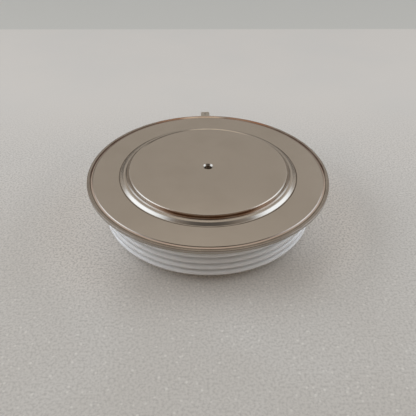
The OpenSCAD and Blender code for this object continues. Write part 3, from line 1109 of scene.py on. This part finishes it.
@dataclass
class CeramicRing:
    """The glazed alumina ring with its sheds."""

    finishes: Finishes
    nose_r: float = 1.0
    fillet: float = 0.6
    pitch: float = 3.3
    sheds: int = 5
    hole_d: float = 2.5
    seat_d: float = 6.6
    seat_depth: float = 0.4
    inside: float = 1.0
    outside: float = 4.0
    nose_steps: int = 14
    turns: int = 288

    def shed(self) -> bpy.types.Mesh:
        """Draws the outline of one shed, half a pitch to each side of its middle.

        Returns:
            A mesh of edges, x out of the wall and y along the axis.
        """
        half, nose = self.pitch / 2.0, LAYOUT.shed_depth - self.nose_r
        lower = rounded([(0.0, -half, 0.0), (0.0, -self.nose_r, self.fillet), (nose, -self.nose_r, 0.0)])[:-1]
        tip = [math.pi * (i / self.nose_steps - 0.5) for i in range(self.nose_steps + 1)]
        points = lower + [(nose + self.nose_r * math.cos(a), self.nose_r * math.sin(a)) for a in tip]
        points += [(x, -y) for x, y in reversed(lower)]
        mesh = bpy.data.meshes.new("shed_outline")
        edges = [(i, i + 1) for i in range(len(points) - 1)]
        mesh.from_pydata([(x * MM, y * MM, 0.0) for x, y in points], edges, [])
        return mesh

    def build(self) -> bpy.types.Object:
        """Repeats the shed up the wall, closes the section and sweeps it round the axis.

        Returns:
            The ring.
        """
        g = GeometryBench("ceramic_sheds", self.finishes.ceramic)
        count = g.size("Sheds", self.sheds)
        pitch = g.size("Shed pitch", self.pitch * MM)
        nose = g.size("Shed nose", self.nose_r * MM)
        height = g.size("Height", (LAYOUT.high - LAYOUT.low) * MM)
        wall = g.size("Wall", (LAYOUT.wall_r - LAYOUT.bore_r) * MM)
        fillet = g.size("Root fillet", self.fillet * MM)
        wall_r = g.size("Wall radius", LAYOUT.wall_r * MM)
        low = g.size("Foot", LAYOUT.low * MM)
        turns = g.size("Turns", self.turns)

        steps = {"Count": count, "Start Location": g.vector(0.0, nose), "Offset": g.vector(0.0, pitch)}
        rows = g.out(g.add("GeometryNodeMeshLine", {"mode": "OFFSET"}, steps))
        inputs = {"Points": rows, "Instance": g.out(g.entry)}
        sheds = g.out(g.add("GeometryNodeInstanceOnPoints", inputs=inputs))
        chain = g.out(g.add("GeometryNodeRealizeInstances", inputs={0: sheds}))
        spot = g.add("ShaderNodeSeparateXYZ", inputs={0: g.out(g.add("GeometryNodeInputPosition"))})
        inputs = {"Geometry": chain, "Selection": g.math("LESS_THAN", g.out(spot, "Y"), -NUDGE)}
        chain = g.out(g.add("GeometryNodeDeleteGeometry", {"domain": "POINT"}, inputs))

        top_end = nose + pitch * (count - 0.5)
        inner = wall * -1.0
        section = g.join(
            chain,
            g.line(g.vector(inner), g.vector(fillet)),
            g.line(g.vector(inner), g.vector(inner, height)),
            g.line(g.vector(inner, height), g.vector(0.0, height)),
            g.line(g.vector(0.0, top_end), g.vector(0.0, height)),
        )
        section = g.out(g.add("GeometryNodeMergeByDistance", inputs={"Geometry": section, "Distance": SEAM}))
        upright = g.add("GeometryNodeTransform", inputs={"Geometry": section, "Scale": (1.0, -1.0, 1.0)})
        profile = g.out(g.add("GeometryNodeMeshToCurve", inputs={0: g.out(upright)}))
        circle = g.add("GeometryNodeCurvePrimitiveCircle", inputs={"Resolution": turns, "Radius": wall_r})
        path = g.out(g.add("GeometryNodeSetCurveNormal", {"mode": "Z_UP"}, {"Curve": g.out(circle)}))
        swept = g.out(g.add("GeometryNodeCurveToMesh", inputs={"Curve": path, "Profile Curve": profile}))
        inputs = {"Geometry": swept, "Translation": g.vector(0.0, 0.0, low)}
        placed = g.out(g.add("GeometryNodeTransform", inputs=inputs))
        ring = shade(g.run(placed, "ceramic_ring", self.shed()), CREASE)
        cutters = (
            ("tube_cutter", self.hole_d, LAYOUT.bore_r - self.inside),
            ("seat_cutter", self.seat_d, LAYOUT.wall_r - self.seat_depth),
        )
        end = LAYOUT.wall_r + self.outside
        for name, d, start in cutters:
            corners = [(0.0, start, 0.0), (d / 2.0, start, 0.0), (d / 2.0, end, 0.0), (0.0, end, 0.0)]
            ring = combine(ring, along_gate(lathe(name, corners, turns=48)), Fit.CUT)
        return dress(ring, self.finishes.ceramic, "ceramic_housing")


# Terminals


@dataclass
class Blade:
    """A flat push-on blade along +X with a chamfered tip and a hole."""

    root: float
    tip: float
    width: float
    hole_d: float
    thick: float = 0.8
    chamfer: float = 0.7
    hole_inset: float = 2.4
    hole_steps: int = 40
    edge: float = 0.09

    def build(self, name: str) -> bpy.types.Object:
        """Builds the blade, centred on height 0.

        Args:
            name: The piece's name.

        Returns:
            The blade.
        """
        half, shy = self.width / 2.0, self.tip - self.chamfer
        outer = [
            (self.root, -half), (shy, -half), (self.tip, -half + self.chamfer),
            (self.tip, half - self.chamfer), (shy, half), (self.root, half),
        ]
        middle, r = self.tip - self.hole_inset, self.hole_d / 2.0
        angles = [2.0 * math.pi * i / self.hole_steps for i in range(self.hole_steps)]
        hole = [(middle + r * math.cos(a), -r * math.sin(a)) for a in angles]
        curve = bpy.data.curves.new(name, "CURVE")
        curve.dimensions = "2D"
        curve.fill_mode = "BOTH"
        curve.bevel_depth = self.edge * MM
        curve.bevel_resolution = 2
        curve.offset = -self.edge * MM
        curve.extrude = (self.thick / 2.0 - self.edge) * MM
        for points in (outer, hole):
            spline = curve.splines.new("POLY")
            spline.points.add(len(points) - 1)
            for point, (x, y) in zip(spline.points, points):
                point.co = (x * MM, y * MM, 0.0, 1.0)
            spline.use_cyclic_u = True
        sheet = add_object(name + "_outline", curve)
        bm = bmesh.new()
        graph = bpy.context.evaluated_depsgraph_get()
        bm.from_mesh(bpy.data.meshes.new_from_object(sheet.evaluated_get(graph)))
        bpy.data.objects.remove(sheet)
        return finish_mesh(bm, name, THIN_CREASE)


@dataclass
class Terminals:
    """The gate tube with its collar and blade, and the auxiliary cathode blade."""

    finishes: Finishes
    tube_from: float = LAYOUT.bore_r - 0.6
    tube_to: float = LAYOUT.wall_r + 10.3
    tube_d: float = 2.4
    tube_wall: float = 0.5
    fit: float = 0.05
    collar_d: float = 6.0
    collar_from: float = LAYOUT.wall_r - 0.4
    collar_t: float = 1.0
    ferrule_l: float = 4.5
    ferrule_wall: float = 0.5
    ferrule_end: float = 0.8
    gate_blade_l: float = 6.4
    gate_blade_w: float = 2.8
    gate_hole_d: float = 1.2
    gate_blade_in: float = 0.3
    cathode_angle: float = 90.0
    cathode_gap: float = 0.6
    cathode_reach: float = 7.7
    cathode_blade_w: float = 4.8
    cathode_hole_d: float = 1.4

    def tube(self) -> bpy.types.Object:
        """Builds the gate tube through the ceramic.

        Returns:
            The tube.
        """
        r = self.tube_d / 2.0
        inner = r - self.tube_wall
        ends = [(inner, self.tube_from), (r, self.tube_from), (r, self.tube_to), (inner, self.tube_to)]
        tube = along_gate(lathe("gate_tube_drawn", [(*p, 0.08) for p in ends], 3, 64))
        return dress(tube, self.finishes.blade, "gate_tube")

    def collar(self) -> bpy.types.Object:
        """Builds the collar that seals the tube to the ceramic.

        Returns:
            The collar.
        """
        inner, outer = self.tube_d / 2.0 + self.fit, self.collar_d / 2.0
        low, high = self.collar_from, self.collar_from + self.collar_t
        corners = [(inner, low, 0.05), (outer, low, 0.1), (outer, high, 0.25), (inner, high, 0.12)]
        collar = along_gate(lathe("gate_collar_ring", corners, 4, 96))
        return dress(collar, self.finishes.blade, "gate_collar")

    def gate(self) -> bpy.types.Object:
        """Builds the ferrule on the tube with the gate blade on its closed end.

        Returns:
            The terminal.
        """
        inner = self.tube_d / 2.0 + self.fit
        outer = self.tube_d / 2.0 + self.ferrule_wall
        end = self.tube_to + self.ferrule_end
        corners = [
            (inner, end - self.ferrule_l, 0.08),
            (outer, end - self.ferrule_l, 0.15),
            (outer, end, 0.25),
            (0.0, end, 0.0),
            (0.0, self.tube_to, 0.0),
            (inner, self.tube_to, 0.0),
        ]
        ferrule = along_gate(lathe("gate_terminal_blade", corners, 4, 64))
        root, tip = self.tube_to + self.gate_blade_in, end + self.gate_blade_l
        sheet = Blade(root, tip, self.gate_blade_w, self.gate_hole_d)
        blade = along_gate(sheet.build("gate_blade_sheet"), Matrix.Identity(4))
        combine(ferrule, blade, Fit.JOINED, FERRULE_CREASE)
        return dress(ferrule, self.finishes.blade, "gate_terminal")

    def cathode(self) -> bpy.types.Object:
        """Builds the auxiliary cathode blade under the rim.

        Returns:
            The blade.
        """
        root, tip = LAYOUT.shed_r + self.cathode_gap, LAYOUT.rim_r + self.cathode_reach
        sheet = Blade(root, tip, self.cathode_blade_w, self.cathode_hole_d)
        height = LAYOUT.high - sheet.thick / 2.0
        blade = lay(sheet.build("cathode_blade_sheet"), self.cathode_angle, height, Matrix.Identity(4))
        return dress(blade, self.finishes.blade, "aux_cathode_terminal")


# Inside


@dataclass
class GateSpring:
    """The coil spring that presses the gate pin on the wafer."""

    finishes: Finishes
    foot: float = 17.0
    length: float = 3.0
    wire_d: float = 0.5
    outer_d: float = 5.0
    active: float = 2.0
    closed_pitch: float = 1.06
    steps: int = 48
    sides: int = 16

    def build(self) -> bpy.types.Object:
        """Winds the wire: a closed turn at each end and open turns between.

        Returns:
            The spring.
        """
        wire = self.wire_d * MM
        closed = self.closed_pitch * wire
        rise = (self.length * MM - wire - 2.0 * closed) / self.active
        turns = int(self.active) + 2
        g = GeometryBench("gate_spring_coil", self.finishes.steel)
        coil_r = g.size("Coil radius", self.outer_d / 2.0 * MM - wire / 2.0)
        wire_r = g.size("Wire radius", wire / 2.0)
        lead = g.size("Closed pitch", closed)
        open_more = g.size("Extra open pitch", rise - closed)
        active = g.size("Active turns", self.active)
        foot = g.size("Foot", self.foot * MM)
        line = g.add("GeometryNodeMeshLine", {"mode": "OFFSET"}, {"Count": turns * self.steps + 1})
        turn = g.out(g.add("GeometryNodeInputIndex")) / float(self.steps)
        angle = turn * (2.0 * math.pi)
        opened = (turn - 1.0).math("MAXIMUM", 0.0).math("MINIMUM", active)
        height = foot + wire_r + turn * lead + opened * open_more
        spot = g.vector(coil_r * angle.math("COSINE"), coil_r * angle.math("SINE"), height)
        placed = g.add("GeometryNodeSetPosition", inputs={"Geometry": g.out(line), "Position": spot})
        path = g.out(g.add("GeometryNodeMeshToCurve", inputs={0: g.out(placed)}))
        inputs = {"Resolution": self.sides, "Radius": wire_r}
        section = g.out(g.add("GeometryNodeCurvePrimitiveCircle", inputs=inputs))
        inputs = {"Curve": path, "Profile Curve": section, "Fill Caps": True}
        spring = g.run(g.out(g.add("GeometryNodeCurveToMesh", inputs=inputs)), "gate_spring_coil")
        shade(spring, THIN_CREASE)
        return dress(spring, self.finishes.steel, "gate_spring")


@dataclass
class SiliconStack:
    """The wafer, its discs and the small gate parts, which keep their CAD shapes."""

    finishes: Finishes

    def dress(self) -> None:
        """Gives each inner node its finish."""
        f = self.finishes
        coats = {
            "anode_moly_disc": f.molybdenum, "cathode_moly_disc": f.molybdenum, "silicon_wafer": f.silicon,
            "wafer_edge_ring": f.rubber, "centring_ring": f.ptfe, "gate_bush": f.ptfe, "lead_sleeve": f.ptfe,
            "gate_washer": f.steel, "gate_pin": f.silver, "gate_lead": f.silver,
        }
        for name, material in coats.items():
            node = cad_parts[name]
            node.data.materials.clear()
            node.data.materials.append(material)
            LOG.info("%s: CAD shape, %s", name, material.name)


# Studio


def direction(turn: float, lift: float) -> Ray:
    """Points from the part to a place, by its angles from straight ahead and above the floor, in degrees."""
    a, e = math.radians(turn), math.radians(lift)
    return (math.sin(a) * math.cos(e), math.cos(a) * math.cos(e), math.sin(e))


class Side(Enum):
    """Where a soft light stands, seen from the camera."""

    LEFT = -1.0
    RIGHT = 1.0


@dataclass(frozen=True)
class SoftLight:
    """A square light that points at the part, with its sizes in metres and its angles in degrees."""

    side: Side
    radiance: float
    size: float = 0.80
    distance: float = 0.75
    turn: float = 95.0
    lift: float = 32.0
    colour: Colour = (1.0, 0.95, 0.89)

    def build(self) -> bpy.types.Object:
        """Adds the light.

        Returns:
            The light.
        """
        ray = Vector(direction(self.side.value * self.turn, self.lift))
        data = bpy.data.lights.new("soft_light", "AREA")
        data.shape = "SQUARE"
        data.size = self.size
        data.energy = self.radiance * math.pi * self.size * self.size
        data.color = self.colour
        lamp = add_object("soft_light_" + self.side.name.lower(), data)
        lamp.visible_glossy = False
        lamp.location = ray * self.distance
        lamp.rotation_euler = ray.to_track_quat("Z", "Y").to_euler()
        return lamp


@dataclass(frozen=True)
class RoomPlace:
    """A lighter or darker place in the room: its direction and where it fades out, in degrees."""

    turn: float
    lift: float
    full: float
    fades: float
    colour: Colour


@dataclass
class Studio:
    """Pale floor, soft lights and the camera at the photograph's angle."""

    focal_px: float = 507.3
    picture_px: float = 416.0
    eye: tuple[float, float, float] = (-6.21, -199.6, 154.6)
    pitch: float = 37.470
    yaw: float = 1.820
    roll: float = 0.544
    sensor: float = 36.0
    clip: float = 0.005
    floor_half: float = 3.0
    lights: tuple[SoftLight, ...] = (SoftLight(Side.LEFT, 0.96), SoftLight(Side.RIGHT, 0.75))
    room: tuple[tuple[float, Colour], ...] = (
        (0.0, (0.235, 0.19, 0.15)),
        (0.45, (0.30, 0.28, 0.26)),
        (0.72, (0.46, 0.433, 0.402)),
        (1.0, (0.45, 0.424, 0.393)),
    )
    places: tuple[RoomPlace, ...] = (
        RoomPlace(0.0, 60.0, 10.0, 24.0, (0.64, 0.60, 0.55)),
        RoomPlace(180.0, 80.0, 6.0, 17.0, (0.06, 0.055, 0.05)),
        RoomPlace(0.0, 88.0, 2.0, 6.0, (0.50, 0.45, 0.39)),
        RoomPlace(180.0, 66.0, 14.0, 25.0, (0.12, 0.115, 0.11)),
        RoomPlace(-22.0, 29.0, 3.0, 8.0, (0.60, 0.58, 0.555)),
        RoomPlace(22.0, 29.0, 3.0, 8.0, (0.56, 0.54, 0.52)),
        RoomPlace(-31.0, 13.0, 6.0, 14.0, (0.17, 0.16, 0.15)),
        RoomPlace(31.0, 13.0, 6.0, 14.0, (0.24, 0.23, 0.22)),
        RoomPlace(-17.0, 14.0, 5.0, 11.0, (0.20, 0.19, 0.18)),
        RoomPlace(17.0, 14.0, 5.0, 11.0, (0.28, 0.27, 0.26)),
        RoomPlace(-33.0, 37.0, 4.0, 9.0, (0.68, 0.66, 0.64)),
        RoomPlace(33.0, 37.0, 4.0, 9.0, (0.68, 0.66, 0.64)),
        RoomPlace(-83.0, 34.0, 9.0, 35.0, (1.72, 1.95, 2.25)),
        RoomPlace(80.0, 32.0, 9.0, 33.0, (1.64, 1.86, 2.14)),
    )

    def camera(self) -> bpy.types.Object:
        """Adds the camera.

        Returns:
            The camera.
        """
        p, y, roll = (math.radians(a) for a in (self.pitch, self.yaw, self.roll))
        ahead = Vector((math.sin(y) * math.cos(p), math.cos(y) * math.cos(p), -math.sin(p)))
        right = Vector((math.cos(y), -math.sin(y), 0.0))
        up = right.cross(ahead)
        right, up = (
            math.cos(roll) * right + math.sin(roll) * up,
            math.cos(roll) * up - math.sin(roll) * right,
        )
        data = bpy.data.cameras.new("camera")
        data.sensor_width = self.sensor
        data.lens = self.focal_px / self.picture_px * data.sensor_width
        data.clip_start = self.clip
        camera = add_object("camera", data)
        turn = Matrix((right, up, -ahead)).transposed().to_4x4()
        camera.matrix_world = Matrix.Translation(Vector(self.eye) * MM) @ turn
        bpy.context.scene.camera = camera
        return camera

    def floor(self) -> bpy.types.Object:
        """Adds the pale floor.

        Returns:
            The floor.
        """
        bm = bmesh.new()
        bmesh.ops.create_grid(bm, x_segments=8, y_segments=8, size=self.floor_half)
        floor = finish_mesh(bm, "floor")
        floor.data.materials.append(PaleFloor("pale_floor").material())
        return floor

    def sky(self) -> None:
        """Lights the part from all round, with a few lighter and darker places in the room."""
        world = bpy.data.worlds.new("studio")
        world.use_nodes = True
        bpy.context.scene.world = world
        b = NodeBench(world.node_tree)
        b.tree.nodes.clear()
        ray = b.out(b.add("ShaderNodeTexCoord"), "Generated")
        ahead = b.out(b.add("ShaderNodeSeparateXYZ", inputs={0: ray}), "Y") * 0.5 + 0.5
        colour = b.out(b.add("ShaderNodeValToRGB", {"stops": self.room}, {0: ahead}))
        for place in self.places:
            mask = b.towards(ray, direction(place.turn, place.lift), place.full, place.fades)
            colour = b.mix(mask, colour, place.colour)
        back = b.add("ShaderNodeBackground", inputs={"Color": colour, "Strength": 1.0})
        b.add("ShaderNodeOutputWorld", inputs={"Surface": b.out(back)})

    def build(self) -> None:
        """Adds everything round the part."""
        self.camera()
        self.floor()
        self.sky()
        for light in self.lights:
            light.build()
        bpy.context.scene.view_settings.view_transform = "Standard"


def main() -> None:
    """Builds the capsule piece by piece, then the studio."""
    logging.basicConfig(level=logging.INFO, format="%(name)s %(message)s")
    finishes = Finishes()
    poles = Poles(finishes)
    poles.anode()
    poles.cathode()
    flanges = Flanges(finishes)
    flanges.anode()
    flanges.weld()
    flanges.cathode()
    CeramicRing(finishes).build()
    terminals = Terminals(finishes)
    terminals.tube()
    terminals.collar()
    terminals.gate()
    terminals.cathode()
    GateSpring(finishes).build()
    SiliconStack(finishes).dress()
    Studio().build()


if __name__ == "__main__":
    main()
